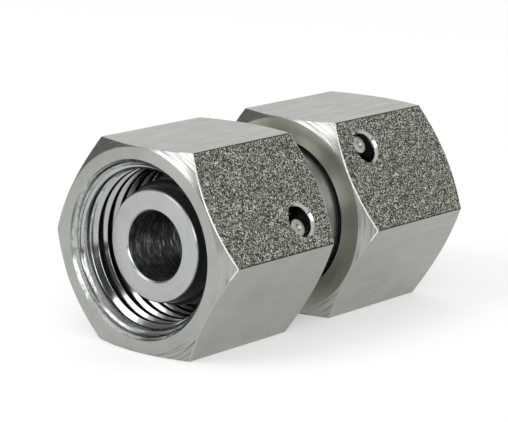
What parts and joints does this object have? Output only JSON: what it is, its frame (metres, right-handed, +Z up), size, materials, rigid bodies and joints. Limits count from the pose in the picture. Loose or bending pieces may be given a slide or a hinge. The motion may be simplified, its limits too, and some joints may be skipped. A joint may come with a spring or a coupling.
{
  "type": "straight hydraulic fitting",
  "caption": "Straight swivel coupling for hydraulic tube: a turned body with a sealed cone nose at each end, held in hexagon swivel nuts by retaining wires.",
  "frame": {"origin": "on the axis, midway between the two swivel nuts, which is the centre of the body", "axes": "X along the bore, the front nut opening towards -X; +Z up, square to the flats that the nuts lie on; the flats with the wire holes face -Y and up"},
  "size_m": [0.0416, 0.0254, 0.022],
  "materials": {
    "turned_steel": "turned steel with bright zinc plating",
    "plated_nut": "drawn hexagon steel with bright zinc plating",
    "spring_wire": "drawn spring steel wire",
    "seal_rubber": "black nitrile rubber"
  },
  "bodies": {
    "coupling_body": {"body": "turned_steel", "front_o_ring": "seal_rubber", "rear_o_ring": "seal_rubber"},
    "front_swivel": {"front_nut": "plated_nut", "front_retaining_wire": "spring_wire"},
    "rear_swivel": {"rear_nut": "plated_nut", "rear_retaining_wire": "spring_wire"}
  },
  "joints": [
    {"name": "front_nut_swivel", "type": "hinge", "parent": "coupling_body", "child": "front_swivel", "pos_m": [-0.01175, 0, 0], "axis": [1, 0, 0], "continuous": true},
    {"name": "rear_nut_swivel", "type": "hinge", "parent": "coupling_body", "child": "rear_swivel", "pos_m": [0.01175, 0, 0], "axis": [1, 0, 0], "continuous": true}
  ]
}
